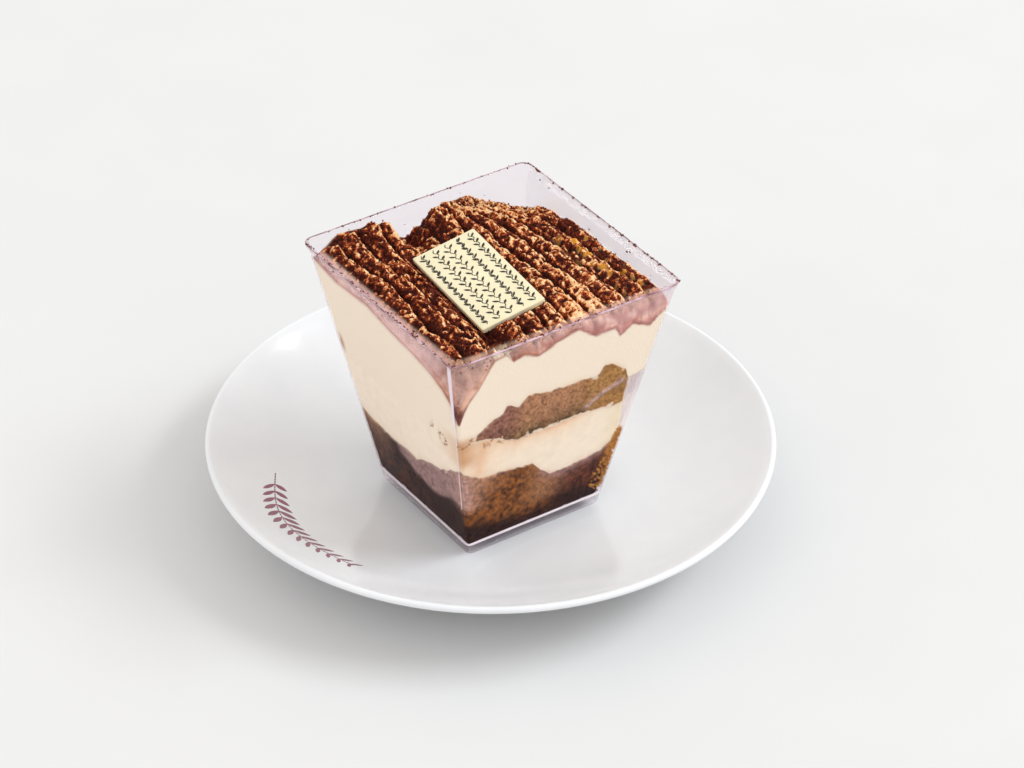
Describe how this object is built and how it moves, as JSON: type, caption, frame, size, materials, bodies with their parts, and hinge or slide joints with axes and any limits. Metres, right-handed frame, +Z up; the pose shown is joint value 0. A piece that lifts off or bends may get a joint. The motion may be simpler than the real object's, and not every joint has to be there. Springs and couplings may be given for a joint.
{
  "type": "tiramisu in a square cup on a plate",
  "caption": "Layered tiramisu with a piped, cocoa-dusted top and a chocolate tag, in a clear tapered square cup that stands on a round white plate.",
  "frame": {"origin": "centre of the plate on the surface that its foot stands on", "axes": "+Z up along the plate's axis, +X and +Y along the sides of the square cup, with the open V in the cream at the -X -Y corner"},
  "size_m": [0.159, 0.159, 0.0833],
  "materials": {
    "porcelain": "white glossy glaze",
    "clear_plastic": "clear moulded polystyrene",
    "soaked_sponge": "wet dark crumb",
    "coffee_sponge": "moist crumb",
    "cream": "smooth whipped cream, dusted with cocoa on its top",
    "white_chocolate": "satin ivory"
  },
  "bodies": {
    "root": {"plate": "porcelain", "cup": "clear_plastic", "sponge_lower": "soaked_sponge", "cream_lower": "cream", "sponge_upper": "coffee_sponge", "cream_upper": "cream", "chocolate_tag": "white_chocolate"}
  },
  "joints": []
}
